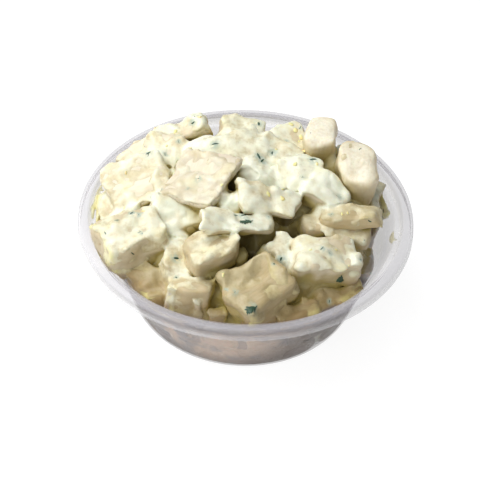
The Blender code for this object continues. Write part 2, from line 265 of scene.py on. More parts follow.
# Smears on the tub's inner wall: (direction, height, width, height of it, thickness)
SMEARS = (
    (131.0, 45.4, 12.0, 1.8, 0.3),
    (145.0, 44.6, 11.0, 2.0, 0.4),
    (160.0, 44.6, 9.0, 2.6, 0.4),
    (172.0, 44.3, 7.0, 2.0, 0.3),
    (-12.7, 42.0, 6.4, 3.6, 0.3),
)
SCATTERED_SMEARS = 6

# Camera, in millimetres and degrees
CAMERA_TARGET = (-2.2, 0.0, 25.0)
CAMERA_DISTANCE = 320.0
CAMERA_ELEVATION = 44.0
CAMERA_ROLL = 1.4
CAMERA_LENS = 52.5


def smooth_step(low, high, value):
    """0 below low, 1 above high, and a smooth S curve between."""
    share = np.clip((value - low) / (high - low), 0.0, 1.0)
    return share * share * (3 - 2 * share)


def smooth_least(a, b, width):
    """The smaller of two fields, rounded where they differ by less than the width."""
    share = np.maximum(width - np.abs(a - b), 0.0) / width
    return np.minimum(a, b) - share * share * width / 4


def waves(points, length, seed, count=8):
    """Smooth random relief, mostly -1 to 1: a sum of sine waves in random directions, each 0.6 to
    1.6 times the given length."""
    rng = np.random.default_rng(seed)
    x, y, z = points
    total = 0.0
    for _ in range(count):
        direction = rng.normal(size=3)
        k = direction / np.linalg.norm(direction) * math.tau / (length * rng.uniform(0.6, 1.6))
        kx, ky, kz = (np.float32(part) for part in k)
        total = total + np.sin(kx * x + ky * y + kz * z + np.float32(rng.uniform(0, math.tau)))
    return total / math.sqrt(2 * count) * 1.2


def cloud(axes, length, seed):
    """Smooth random relief on the grid, mostly -1 to 1: random numbers on a coarse grid, whose
    spacing is the given length, joined by cubic B-splines along each axis."""
    rng = np.random.default_rng(seed)
    blends = []
    for axis in axes:
        line = axis.ravel() / length
        knots = np.arange(math.floor(line[0]) - 1, math.ceil(line[-1]) + 2)
        apart = np.abs(line[:, None] - knots[None, :])
        near = 2 / 3 - apart**2 + apart**3 / 2
        far = np.maximum(2 - apart, 0) ** 3 / 6
        blends.append(np.where(apart < 1, near, far).astype(np.float32))
    numbers = rng.normal(size=[blend.shape[1] for blend in blends]).astype(np.float32)
    return 1.6 * np.einsum("ia,jb,kc,abc->ijk", *blends, numbers, optimize=True)


def kneaded(points):
    """Points moved by long soft waves, so that cut faces and edges aren't quite straight."""
    return tuple(
        part + 1.0 * waves(points, 19.0, SEED + i, 5) + 0.4 * waves(points, 8.0, SEED + 5 + i, 5)
        for i, part in enumerate(points)
    )


def kept_low(points):
    """Points in rows, where those near the top of the heap's solid are pressed softly under it."""
    x, y, z = points.T
    start = salad_high.z / MM - 2.6
    pressed = start + 2.5 * np.tanh(np.maximum(z - start, 0) / 2.5)
    return np.stack([x, y, np.where(z > start, pressed, z)], axis=1)


class Faces(NamedTuple):
    """A piece's cutting planes: outward normals, distances from the origin, and how sharp the
    edges between them are."""

    normals: np.ndarray
    offsets: np.ndarray
    sharpness: float


def rotation(turn, tilt, lean):
    """Turn about Z first, then lean about Y, then tilt about X."""
    made = Matrix.Identity(3)
    for angle, axis in ((tilt, "X"), (lean, "Y"), (turn, "Z")):
        made = made @ Matrix.Rotation(math.radians(angle), 3, axis)
    return np.array(made)


def cut_faces(cut, seed):
    """The six faces of a piece: its box's eight corners are moved by seeded draws, and each plane
    goes through the mean of a side's four corners, square to that side's two diagonals. A round
    piece has four more, halfway round between its long sides."""
    rng = random.Random(seed)
    corners = {}
    for signs in itertools.product((-1, 1), repeat=3):
        moved = [0.5 * sign + rng.uniform(-CORNER_SHIFT, CORNER_SHIFT) for sign in signs]
        narrowed = 1 - 0.5 * cut.taper * (1 + signs[0])
        corners[signs] = np.array([moved[0], moved[1] * narrowed, moved[2] * narrowed]) * cut.size
    turn = rotation(*cut.angles)
    normals, offsets = [], []
    for axis, side in itertools.product(range(3), (-1, 1)):
        four = [corner for signs, corner in corners.items() if signs[axis] == side]
        middle = np.mean(four, axis=0)
        normal = np.cross(four[3] - four[0], four[2] - four[1])
        normal *= np.sign(normal @ middle) / np.linalg.norm(normal)
        normals.append(turn @ normal)
        offsets.append(normal @ middle)
    for first, last in itertools.product((2, 3), (4, 5)) if cut.round else ():
        between = normals[first] + normals[last]
        offsets.append(0.82 * (offsets[first] + offsets[last]) / np.linalg.norm(between))
        normals.append(between / np.linalg.norm(between))
    normals = np.array(normals, np.float32)
    offsets = np.array(offsets, np.float32) + normals @ np.array(cut.centre, np.float32)
    return Faces(normals, offsets, 2.4 / cut.corner)


def cut_field(points, faces):
    """Distance to a piece: the largest of the distances to its planes, where the logarithm of the
    sum of their exponentials rounds the edges and corners."""
    x, y, z = points
    total = 0.0
    for (nx, ny, nz), offset in zip(faces.normals, faces.offsets):
        total = total + np.exp(faces.sharpness * (nx * x + ny * y + nz * z - offset))
    return np.log(total) / faces.sharpness


def filler_cuts():
    """Pieces on rings, each turned and sized by a seeded draw, where no named piece already lies."""
    rng = random.Random(SEED)
    centres = [Vector(cut.centre) for cut in CUTS.values()]
    made = []
    for ring, (radius, height, count, mean) in enumerate(FILLER_RINGS):
        for i in range(count):
            angle = math.tau * (i + 0.5 * (ring % 2) + rng.uniform(-0.2, 0.2)) / count
            centre = Vector((radius * math.cos(angle), radius * math.sin(angle), height))
            centre.z += rng.uniform(-2.0, 2.0)
            size = tuple(mean * rng.uniform(0.75, 1.15) for _ in range(3))
            angles = (rng.uniform(0, 90), rng.uniform(-25, 25), rng.uniform(-25, 25))
            off = (math.degrees(angle) - GAP_DIRECTION + 180) % 360 - 180
            in_gap = abs(off) < GAP_HALF_WIDTH and radius > GAP_INNER_RADIUS
            near = min((centre - other).length for other in centres)
            if in_gap or near < FILLER_CLEARANCE:
                continue
            centres.append(centre)
            made.append(Cut(tuple(centre), size, angles, 3.0, 0.0, 0.8))
    return made


def lower_cuts():
    """Pieces on rings low in the tub, close to the wall and the floor."""
    rng = random.Random(SEED + LOWER_SEED)
    made = []
    for radius, height, count in LOWER_RINGS:
        for i in range(count):
            angle = math.tau * (i + rng.uniform(-0.25, 0.25)) / count
            up = height + rng.uniform(-1.5, 1.5)
            centre = (radius * math.cos(angle), radius * math.sin(angle), up)
            size = tuple(LOWER_SIZE * rng.uniform(0.8, 1.15) for _ in range(3))
            turn = math.degrees(angle) + rng.uniform(-20, 20)
            angles = (turn, rng.uniform(-12, 12), rng.uniform(-12, 12))
            tone = rng.uniform(0.0, 0.5)
            made.append(Cut(centre, size, angles, 2.6, 0.0, 0.5, tone))
    return made


# Fine meshes from arrays


def make_piece(name, points, faces, material, slot, smooth=True, **values):
    """A mesh object from points in millimetres and faces as rows of point numbers. Doubles are
    merged, the faces are turned outwards, and each value becomes a point attribute."""
    mesh = bpy.data.meshes.new(name)
    mesh.vertices.add(len(points))
    mesh.vertices.foreach_set("co", (np.asarray(points, np.float64) * MM).astype(np.float32).ravel())
    faces = np.asarray(faces, np.int32)
    mesh.loops.add(faces.size)
    mesh.loops.foreach_set("vertex_index", faces.ravel())
    mesh.polygons.add(len(faces))
    mesh.polygons.foreach_set("loop_start", np.arange(0, faces.size, faces.shape[1], dtype=np.int32))
    mesh.update(calc_edges=True)
    set_values(mesh, **values)
    bm = bmesh.new()
    bm.from_mesh(mesh)
    bmesh.ops.remove_doubles(bm, verts=bm.verts, dist=1e-7)
    if bm.calc_volume(signed=True) < 0:
        bmesh.ops.reverse_faces(bm, faces=bm.faces)
    bm.to_mesh(mesh)
    bm.free()
    if smooth:
        mesh.shade_smooth()
    mesh.materials.append(material)
    piece = bpy.data.objects.new(name, mesh)
    bpy.context.scene.collection.objects.link(piece)
    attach(piece, "root")
    return piece


def set_values(mesh, **values):
    """Point attributes: one number a point, or three."""
    for key, value in values.items():
        single = np.ndim(value) == 1
        layer = mesh.attributes.new(key, "FLOAT" if single else "FLOAT_VECTOR", "POINT")
        numbers = np.ascontiguousarray(value, np.float32).ravel()
        layer.data.foreach_set("value" if single else "vector", numbers)


def mesh_points(mesh):
    """A mesh's points in millimetres."""
    found = np.empty(3 * len(mesh.vertices), np.float32)
    mesh.vertices.foreach_get("co", found)
    return found.reshape(-1, 3) / MM


def grid_faces(rows, columns, wrap_columns=True):
    """Quads of a grid of points stored row by row, whose last column may join its first."""
    numbers = np.arange(rows * columns).reshape(rows, columns)
    if wrap_columns:
        numbers = np.concatenate([numbers, numbers[:, :1]], axis=1)
    corners = (numbers[:-1, :-1], numbers[:-1, 1:], numbers[1:, 1:], numbers[1:, :-1])
    return np.stack([corner.ravel() for corner in corners], axis=1)


def rounded_path(corners, steps=5):
    """A profile from (radius, height, rounding) corners: each corner is a curve that leaves one
    straight and joins the next, at most half a straight away."""
    points = [corners[0][:2]]
    for before, (r, z, rounding), after in zip(corners, corners[1:], corners[2:]):
        corner = np.array([r, z])
        ends = []
        for other in (before, after):
            leg = np.array(other[:2]) - corner
            ends.append(corner + leg * min(0.49, rounding / np.linalg.norm(leg)))
        for share in np.linspace(0, 1, steps if rounding > 0 else 1):
            bend = 2 * share * (1 - share) * corner
            points.append((1 - share) ** 2 * ends[0] + bend + share**2 * ends[1])
    points.append(corners[-1][:2])
    return np.array(points, float)


# The tub


def outer_corners():
    """The tub's outside, from the middle of its foot up to the lip's outer edge."""
    foot_inner = BASE_RADIUS - BASE_CORNER - FOOT_RING_WIDTH
    skirt_bottom = TUB_HEIGHT - SKIRT_DROP
    skirt_radius = RIM_RADIUS - SKIRT_FLARE
    under_lip = TUB_HEIGHT - 1.1
    return [
        (0.0, FOOT_RECESS, 0),
        (foot_inner - 0.8, FOOT_RECESS, 0.3),
        (foot_inner, 0.0, 0.3),
        (BASE_RADIUS - 0.6, 0.0, BASE_CORNER),
        (BODY_TOP_RADIUS, BODY_TOP_Z - 0.5, 0.6),
        (BODY_TOP_RADIUS + 1.6, BODY_TOP_Z + 0.5, 0.6),
        (SEAT_INNER_RADIUS + 0.9, SEAT_Z - WALL - 0.2, 0.4),
        (SEAT_OUTER_RADIUS + 0.4, SEAT_Z - WALL, 0.4),
        (LIP_INNER_RADIUS + 0.9, under_lip, 0.5),
        (skirt_radius - 1.0, under_lip, 0.5),
        (skirt_radius - 0.8, skirt_bottom, 0.15),
        (RIM_RADIUS, skirt_bottom, 0.15),
        (RIM_RADIUS, skirt_bottom + 0.6, 0.3),
        (skirt_radius, skirt_bottom + 1.1, 0.4),
        (skirt_radius, TUB_HEIGHT, 1.0),
    ]


def inner_corners():
    """The tub's inside, from the lip down to the middle of its floor."""
    foot_inner = BASE_RADIUS - BASE_CORNER - FOOT_RING_WIDTH
    return [
        (LIP_INNER_RADIUS + 0.6, TUB_HEIGHT, 0.7),
        (SEAT_OUTER_RADIUS, SEAT_Z, 0.4),
        (SEAT_INNER_RADIUS + 0.2, SEAT_Z, 0.4),
        (BODY_TOP_RADIUS + 0.9, BODY_TOP_Z + 0.7, 0.5),
        (BODY_TOP_RADIUS - WALL, BODY_TOP_Z, 0.5),
        (BASE_RADIUS - WALL - 0.6, WALL, BASE_CORNER - WALL),
        (foot_inner + 0.4, WALL, 0.3),
        (foot_inner - 0.4, FOOT_RECESS + WALL, 0.3),
        (0.0, FOOT_RECESS + WALL, 0),
    ]


def turned(profile, steps):
    """A surface of revolution: each profile point (radius, height) goes round the Z axis."""
    angle = np.arange(steps) * math.tau / steps
    radius, height = profile[:, 0, None], profile[:, 1, None]
    x, y = radius * np.cos(angle), radius * np.sin(angle)
    return np.stack([x, y, height + 0 * angle], axis=-1).reshape(-1, 3)


INSIDE = rounded_path(inner_corners())[::-1]
FLOOR_EDGE = int(np.flatnonzero(INSIDE[:, 1] < WALL + 0.01)[-1])


def inner_radius(z):
    """The tub's inner radius at a height."""
    wall = INSIDE[FLOOR_EDGE:]
    return np.interp(z, wall[:, 1], wall[:, 0]).astype(np.float32)


def held_in(points, reach):
    """Distance beyond the tub's inside, where the reach goes that far into its wall and floor."""
    x, y, z = points
    radius = np.hypot(x, y)
    floor = np.interp(radius, INSIDE[: FLOOR_EDGE + 1, 0], INSIDE[: FLOOR_EDGE + 1, 1])
    return np.maximum(radius - inner_radius(z), floor.astype(np.float32) - z) - reach


def build_tub(material):
    profile = rounded_path(outer_corners() + inner_corners())
    points = turned(profile, TUB_STEPS)
    faces = grid_faces(len(profile), TUB_STEPS)
    tub = make_piece("tub_shell", points, faces, material, "clear_plastic")
    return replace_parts(tub, "tub")


# The heap's fields


class Heap(NamedTuple):
    """The fields on one grid, with its lowest corner: the distance to bare flesh, the distance to
    the dressed heap, the crags of the cut faces, the tone of the nearest piece, and how much of
    the sky the air near each place sees."""

    low: np.ndarray
    flesh: np.ndarray
    dressed: np.ndarray
    crags: np.ndarray
    tone: np.ndarray
    sky: np.ndarray


def grid_axes():
    flat = np.arange(-GRID_LIMIT, GRID_LIMIT + GRID_STEP, GRID_STEP, dtype=np.float32)
    up = np.arange(GRID_LOW, GRID_HIGH, GRID_STEP, dtype=np.float32)
    return flat[:, None, None], flat[None, :, None], up[None, None, :]


def block_of(cut, low, shape):
    """The part of the grid that a piece reaches, as three slices."""
    half = 0.5 * 1.15 * np.linalg.norm(cut.size) + REACH
    start = np.floor((np.array(cut.centre) - half - low) / GRID_STEP).astype(int)
    stop = np.ceil((np.array(cut.centre) + half - low) / GRID_STEP).astype(int) + 1
    return tuple(slice(max(0, a), max(0, min(n, b))) for a, b, n in zip(start, stop, shape))


def blurred(field, width):
    """A field on the grid, blurred by about the given width: three running means in turn along
    each of its axes, which together come close to a bell curve."""
    reach = max(1, round(width / GRID_STEP - 0.5))
    for axis in range(field.ndim):
        field = np.moveaxis(field, axis, 0)
        for _ in range(3):
            ends = [np.repeat(field[:1], reach + 1, axis=0), np.repeat(field[-1:], reach, axis=0)]
            total = np.cumsum(np.concatenate([ends[0], field, ends[1]]), axis=0, dtype=np.float32)
            field = (total[2 * reach + 1 :] - total[: -2 * reach - 1]) / (2 * reach + 1)
        field = np.moveaxis(field, 0, axis)
    return field


def pool_level(flesh, axes):
    """How high the loose dressing stands at each (x, y): the heap's blurred height less a drop, or
    the mounds where they are higher, with the hollows taken off."""
    x, y = axes[0][..., 0], axes[1][..., 0]
    tops = np.where(flesh < 0, axes[2], np.float32(0)).max(axis=2)
    level = blurred(tops, POOL_BLUR) - POOL_DROP
    for px, py, height, radius in POOLS:
        mound = height - POOL_FALL * ((x - px) ** 2 + (y - py) ** 2) / radius**2
        level = -smooth_least(-level, -mound, 3.0)
    for px, py, radius, depth in HOLLOWS:
        apart = (x - px) ** 2 + (y - py) ** 2
        level = level - depth * np.exp(-apart / (2 * (radius / 1.5) ** 2))
    return level.astype(np.float32)


def wall_film(axes):
    """Distance to the film of dressing on the tub's inner wall, which ends at an uneven height."""
    x, y, z = axes
    turn = np.degrees(np.arctan2(y, x))
    high = np.full(turn.shape, FILM_LOW, np.float32)
    for direction, half, height in FILMS:
        off = np.abs((turn - direction + 180) % 360 - 180)
        high += (height - high) * smooth_step(half, 0.6 * half, off)
    uneven = cloud(axes, 3.4, SEED + 45)
    inward = inner_radius(z) - np.hypot(x, y) - FILM_THICKNESS * (1 + 0.4 * uneven)
    return np.maximum(inward, z - high - 1.3 * uneven)


def sky_seen(clear):
    """How much of the sky the air near each grid place sees, from a field that is 1 where it is
    clear and 0 where it is filled: the share of nine ways up that stay clear, one straight and
    eight slanting one step sideways for each step up, as a blurred mean over the clear places."""
    seen = np.zeros_like(clear)
    for slant in itertools.product((-1, 0, 1), repeat=2):
        layer = np.ones_like(clear[..., 0])
        for level in range(clear.shape[2] - 1, -1, -1):
            layer = np.roll(layer * clear[..., level], slant, axis=(0, 1))
            seen[..., level] += layer / 9
    return blurred(seen * clear, SKY_BLUR) / (blurred(clear, SKY_BLUR) + 0.02)


def heap_fields(cuts):
    """Works out the fields of the whole heap on the grid."""
    axes = grid_axes()
    low = np.array([axis.ravel()[0] for axis in axes])
    shape = tuple(axis.size for axis in axes)
    moved = [part + np.zeros(shape, np.float32) for part in kneaded(axes)]
    ridges = np.abs(cloud(axes, 5.0, SEED + 47)) - 0.45
    crags = (0.6 * cloud(axes, 2.4, SEED + 46) + 1.1 * ridges).astype(np.float32)
    flesh = np.full(shape, FAR, np.float32)
    dressed = flesh.copy()
    coat = np.ones(shape, np.float32)
    tone = np.full(shape, 0.5, np.float32)
    for number, cut in enumerate(cuts):
        block = block_of(cut, low, shape)
        own = cut_field([part[block] for part in moved], cut_faces(cut, SEED + number))
        own += cut.rough * crags[block]
        nearest = own < flesh[block]
        coat[block][nearest] = cut.coat
        tone[block][nearest] = cut.tone
        flesh[block] = np.minimum(flesh[block], own)
        dressed[block] = smooth_least(dressed[block], own, BLEND)
    level = pool_level(flesh, axes)[..., None] + 1.2 * cloud(axes, 9.0, SEED + 44)
    dressed = smooth_least(dressed, 0.75 * (axes[2] - level), POOL_BLEND)
    slopes = np.gradient(dressed)
    steep = np.sqrt(sum(part * part for part in slopes)) + 1e-6
    facing = slopes[2] / steep + 0.35 * cloud(axes, 7.0, SEED + 40)
    covered = smooth_step(*COAT_FACING, facing)
    relief = 0.28 * cloud(axes, 5.0, SEED + 41) + 0.18 * cloud(axes, 1.8, SEED + 42)
    relief += 0.32 * (np.abs(cloud(axes, 3.0, SEED + 48)) - 0.45)
    thickness = coat * COAT_MEAN + relief
    dressed = dressed - (COAT_UNDER + covered * (thickness - COAT_UNDER))
    dressed = smooth_least(dressed, wall_film(axes), BLEND)
    between = smooth_step(0.4, 1.6, flesh) * smooth_step(0.0, 0.5, cloud(axes, 9.0, SEED + 43))
    pocket = 1.6 * between * smooth_step(30.0, 24.0, axes[2])
    dressed = np.maximum(dressed, held_in(axes, SKIN_REACH) + pocket).astype(np.float32)
    sky = sky_seen((np.minimum(dressed, flesh) > 0).astype(np.float32))
    return Heap(low, flesh, dressed, crags, blurred(tone, 1.2), sky)


def sample(field, low, points):
    """A field between its grid points: the eight nearest values, weighted by closeness."""
    place = (points - low) / GRID_STEP
    place = np.clip(place, 0, np.array(field.shape) - 1.001)
    cell = place.astype(int)
    share = place - cell
    total = np.zeros(len(points))
    for corner in itertools.product((0, 1), repeat=3):
        weight = np.prod(np.where(corner, share, 1 - share), axis=1)
        total += weight * field[tuple((cell + corner).T)]
    return total


def skin_of(field, low):
    """The surface where a field is zero, as quads: each grid cell that it crosses gets a point, the
    mean of where it cuts the cell's edges, and each crossed grid edge a quad of its four cells."""
    inside = field < 0
    count = sum(
        inside[tuple(slice(a, n - 1 + a) for a, n in zip(corner, inside.shape))].astype(np.int8)
        for corner in itertools.product((0, 1), repeat=3)
    )
    mixed = (count > 0) & (count < 8)
    cells = np.argwhere(mixed)
    places = np.zeros((len(cells), 3))
    cuts = np.zeros(len(cells))
    for axis in range(3):
        others = [i for i in range(3) if i != axis]
        for a, b in itertools.product((0, 1), repeat=2):
            start = np.zeros(3, int)
            start[others] = a, b
            stop = start.copy()
            stop[axis] = 1
            first = field[tuple((cells + start).T)]
            last = field[tuple((cells + stop).T)]
            crossed = (first < 0) != (last < 0)
            share = np.where(crossed, first / np.where(crossed, first - last, 1), 0)
            places[crossed] += (start + share[:, None] * (stop - start))[crossed]
            cuts += crossed
    points = low + (cells + places / cuts[:, None]) * GRID_STEP
    numbers = np.full(mixed.shape, -1, np.int64)
    numbers[mixed] = np.arange(len(cells))
    quads = []
    for axis in range(3):
        edge = [slice(1, -1)] * 3
        edge[axis] = slice(0, -1)
        after = list(edge)
        after[axis] = slice(1, None)
        first, last = inside[tuple(edge)], inside[tuple(after)]
        starts = np.argwhere(first != last) + np.array([int(i != axis) for i in range(3)])
        one, two = [np.eye(3, dtype=int)[i] for i in range(3) if i != axis]
        ring = [starts, starts - one, starts - one - two, starts - two]
        quad = np.stack([numbers[tuple(corner.T)] for corner in ring], axis=1)
        leaving = inside[tuple(starts.T)]
        flip = leaving if axis == 1 else ~leaving
        quad[flip] = quad[flip][:, ::-1]
        quads.append(quad)
    return points, np.concatenate(quads)


def build_dressing(heap, material):
    """The dressing: the skin of the dressed field, thinned where it is flat. Its depth is how much
    dressing lies over the flesh. Against the tub's wall it is pressed, and a film higher up."""
    points, quads = skin_of(heap.dressed, heap.low)
    piece = make_piece("dressing", kept_low(points), quads, material, "creamy_salad")
    thin = piece.modifiers.new("thinned", "DECIMATE")
    thin.ratio = min(1.0, DRESSING_TRIANGLES / (2 * len(quads)))
    graph = bpy.context.evaluated_depsgraph_get()
    mesh = bpy.data.meshes.new_from_object(piece.evaluated_get(graph))
    piece.modifiers.clear()
    piece.data = mesh
    mesh.shade_smooth()
    points = mesh_points(mesh)
    beyond, high = held_in(points.T, 0.0), points[:, 2]
    pressed = smooth_step(-1.2, -0.4, beyond) * smooth_step(41.0, 37.0, high)
    film = smooth_step(-3.5, -1.5, beyond) * smooth_step(38.0, 42.0, high)
    depth = sample(heap.flesh, heap.low, points)
    tone = sample(heap.tone, heap.low, points)
    set_values(mesh, depth=depth, tone=tone, closed=closed_in(heap, points))
    set_values(mesh, pressed=pressed, film=film)
    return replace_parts(piece, "salad")


# The palm heart


def lattice(detail):
    """Directions spread over the six sides of a cube, with the quads between them."""
    line = np.tan(np.linspace(-1, 1, detail + 1) * math.pi / 4)
    a, b = (part.ravel() for part in np.meshgrid(line, line, indexing="ij"))
    points, faces = [], []
    for axis, side in itertools.product(range(3), (-1, 1)):
        parts = [a, b]
        parts.insert(axis, np.full_like(a, side))
        quads = grid_faces(detail + 1, detail + 1, False) + len(points) * len(a)
        points.append(np.stack(parts, axis=1))
        faces.append(quads if (side > 0) == (axis == 1) else quads[:, ::-1])
    welded, numbers = np.unique(np.concatenate(points).round(6), axis=0, return_inverse=True)
    return welded, numbers.ravel()[np.concatenate(faces)]


def palm_relief(local, ends):
    """Fibres that run along a piece, and rings round its axis on its two ends, in millimetres."""
    x, y, z = local.T
    fibres = 0.16 * waves((x * 0.2, y, z), 2.4, SEED + 60)
    lumps = 0.22 * waves((x * 0.6, y, z), 6.0, SEED + 61)
    rings = 0.14 * np.sin(math.tau * np.hypot(y, z) / 2.1 + 2 * waves(local.T, 9.0, SEED + 62))
    return lumps + fibres * (1 - ends) + rings * ends


def palm_skin(heap, cut, number, ways):
    """Points of one piece: each way out from its centre goes as far as its field is negative, found
    by halving, and the relief is added. Returns them with its lengthwise place and ends."""
    faces = cut_faces(cut, SEED + number)
    turn = rotation(*cut.angles)
    out = ways * cut.size
    out = (out / np.linalg.norm(out, axis=1, keepdims=True)) @ turn.T
    centre = np.array(cut.centre, float)
    near, far = np.zeros(len(out)), np.full(len(out), 0.8 * np.linalg.norm(cut.size))
    for _ in range(14):
        middle = (near + far) / 2
        points = (centre + out * middle[:, None]).T
        field = np.maximum(cut_field(kneaded(points), faces), held_in(points, FLESH_REACH))
        near, far = np.where(field < 0, middle, near), np.where(field < 0, far, middle)
    points = centre + out * near[:, None]
    local = (points - centre) @ turn
    beyond = np.stack(kneaded(points.T), axis=1) @ faces.normals.T - faces.offsets
    shares = np.exp(faces.sharpness * beyond)
    ends = shares[:, :2].sum(axis=1) / shares.sum(axis=1)
    relief = min(1.0, 0.3 + 2 * cut.rough) * palm_relief(local, ends)
    relief -= cut.rough * sample(heap.crags, heap.low, points)
    relief *= held_in(points.T, FLESH_REACH) < -0.3
    return kept_low(points + out * relief[:, None]), local, ends


def closed_in(heap, points):
    """How much of the sky the heap hides from points, or 0 at the tub's wall; the materials paint shade
    by it.
    """
    painted_shade_by_hidden_sky = 1 - sample(heap.sky, heap.low, points)
    return painted_shade_by_hidden_sky * smooth_step(-0.6, -3.0, held_in(points.T, 0.0))


def build_palm(name, heap, numbered, detail, material):
    """One mesh of several pieces of palm heart, given as (number, cut)."""
    ways, quads = lattice(detail)
    points, faces, places, ends, tones = [], [], [], [], []
    for step, (number, cut) in enumerate(numbered):
        skin, local, end = palm_skin(heap, cut, number, ways)
        points.append(skin)
        faces.append(quads + step * len(ways))
        places.append(local + 40.0 * step)
        ends.append(end)
        tones.append(np.full(len(ways), cut.tone))
    points = np.concatenate(points)
    return make_piece(
        name,
        points,
        np.concatenate(faces),
        material,
        "creamy_salad",
        place=np.concatenate(places),
        ends=np.concatenate(ends),
        tone=np.concatenate(tones),
        closed=closed_in(heap, points),
    )


# Herbs, crumbs and smears


class Ground:
    """The surface of the heap, for laying small things on."""

    def __init__(self, pieces):
        graph = bpy.context.evaluated_depsgraph_get()
        self.trees = [BVHTree.FromObject(piece, graph) for piece in pieces]

    def hit(self, start, way):
        """Where a ray from a point in millimetres first lands, with the normal there."""
        found = [tree.ray_cast(start * MM, way) for tree in self.trees]
        found = [(distance, spot, normal) for spot, normal, _, distance in found if spot]
        if not found:
            return None
        _, spot, normal = min(found, key=lambda landing: landing[0])
        return spot / MM, normal

    def under(self, spot, normal):
        """The surface under a point that is held a little above it, or the point past an edge."""
        landing = self.hit(spot + 3.0 * normal, -normal)
        near = landing and (landing[0] - spot).length < 2.0
        return landing if near else (spot, normal)


def view_way():
    """The way from the heap back to the camera."""
    tilt = math.radians(CAMERA_ELEVATION)
    return Vector((0.0, -math.cos(tilt), math.sin(tilt)))


def laid_path(ground, spot, normal, angle, length, bend, count=7):
    """Points along the surface from the middle of a sliver both ways, at an angle round the normal
    from the sideways direction, with the normals there."""
    side = Vector((1, 0, 0)).cross(normal)
    side = side.normalized() if side.length > 0.2 else Vector((0, 0, 1)).cross(normal).normalized()
    ahead = Matrix.Rotation(math.radians(angle), 3, normal) @ side.cross(normal)
    across = normal.cross(ahead)
    path, normals = [], []
    for share in np.linspace(-0.5, 0.5, count):
        offset = ahead * (share * length) + across * (bend * (4 * share * share - 0.5))
        place, up = ground.under(spot + offset, normal)
        path.append(place)
        normals.append(up)
    return np.array(path), np.array(normals)


def sliver(path, normals, width, thickness, lift, taper=0.6):
    """A closed flat tube round a path: at each point an ellipse in the plane of the normal and the
    sideways direction, whose size follows sin(pi u) to the power taper."""
    ahead = np.gradient(path, axis=0)
    side = np.cross(ahead, normals)
    side /= np.linalg.norm(side, axis=1, keepdims=True) + 1e-9
    swell = np.sin(math.pi * np.linspace(0.0, 1.0, len(path))) ** taper
    turn = np.arange(6) * math.tau / 6
    flat = (width / 2 * swell)[:, None, None] * np.cos(turn)[None, :, None] * side[:, None]
    tall = (thickness / 2 * swell)[:, None, None] * np.sin(turn)[None, :, None] * normals[:, None]
    centre = path + normals * lift
    return (centre[:, None] + flat + tall).reshape(-1, 3), grid_faces(len(path), len(turn))


def joined(parts):
    """Several (points, faces) as one."""
    points = [part[0] for part in parts]
    starts = np.cumsum([0] + [len(part) for part in points[:-1]])
    return np.concatenate(points), np.concatenate([p[1] + s for p, s in zip(parts, starts)])


def frond(ground, spot, normal, angle, length, rng):
    """A dill frond: a thin stem with short leaves that leave it by turns to either side."""
    stem, up = laid_path(ground, spot, normal, angle, length, rng.uniform(-0.5, 0.5), 9)
    parts = [sliver(stem, up, 0.9, 0.3, 0.12)]
    for i in range(2, 8):
        for side in (-1, 1):
            reach = length * rng.uniform(0.3, 0.5) * (1.15 - abs(i - 4.5) / 6)
            turn = angle + side * rng.uniform(30, 60)
            ahead = Vector(stem[i + 1] - stem[i]).normalized()
            away = Matrix.Rotation(math.radians(turn - angle), 3, Vector(up[i])) @ ahead
            middle = Vector(stem[i]) + away * reach * 0.5
            leaf, leaf_up = laid_path(ground, middle, Vector(up[i]), turn, reach, 0.15, 6)
            parts.append(sliver(leaf, leaf_up, rng.uniform(0.6, 1.0), 0.22, 0.14))
    return parts


def from_sky(rng):
    """A random ray down on the heap: the point it starts from and its way."""
    around, out = rng.uniform(0, math.tau), 60 * math.sqrt(rng.random())
    aim = Vector((out * math.cos(around), out * math.sin(around), 45.0))
    lean, turn = math.radians(rng.uniform(0, 60)), rng.uniform(0, math.tau)
    way = Vector((math.sin(lean) * math.cos(turn), math.sin(lean) * math.sin(turn), math.cos(lean)))
    return aim + 90 * way, -way


def lay_herbs(ground, material):
    """Chopped dill: the fronds and slivers that the photograph shows, and others all over."""
    rng = random.Random(SEED + 80)
    parts, spots = [], []
    for x, y, z, angle, length in FRONDS:
        landing = ground.hit(Vector((x, y, z)) + 60 * view_way(), -view_way())
        parts += frond(ground, *landing, angle, length, rng)
        spots.append((*landing[0], 4.0))
    for x, y, z, angle, length in SLIVERS:
        landing = ground.hit(Vector((x, y, z)) + 60 * view_way(), -view_way())
        path, up = laid_path(ground, *landing, angle, length, rng.uniform(-0.4, 0.4))
        parts.append(sliver(path, up, rng.uniform(0.6, 1.1), 0.25, 0.05))
        spots.append((*landing[0], 3.4))
    for _ in range(SCATTERED_SLIVERS):
        landing = ground.hit(*from_sky(rng))
        if landing is None or landing[0].z < 30 or landing[0].xy.length > 66:
            continue
        length = 0.6 + 2.6 * rng.random() ** 2
        path, up = laid_path(ground, *landing, rng.uniform(0, 360), length, rng.uniform(-0.5, 0.5))
        parts.append(sliver(path, up, rng.uniform(0.25, 0.6), 0.22, rng.uniform(-0.1, 0.03)))
        spots.append((*landing[0], rng.uniform(0.8, 2.2)))
    make_piece("dill", *joined(parts), material, "creamy_salad")
    return spots


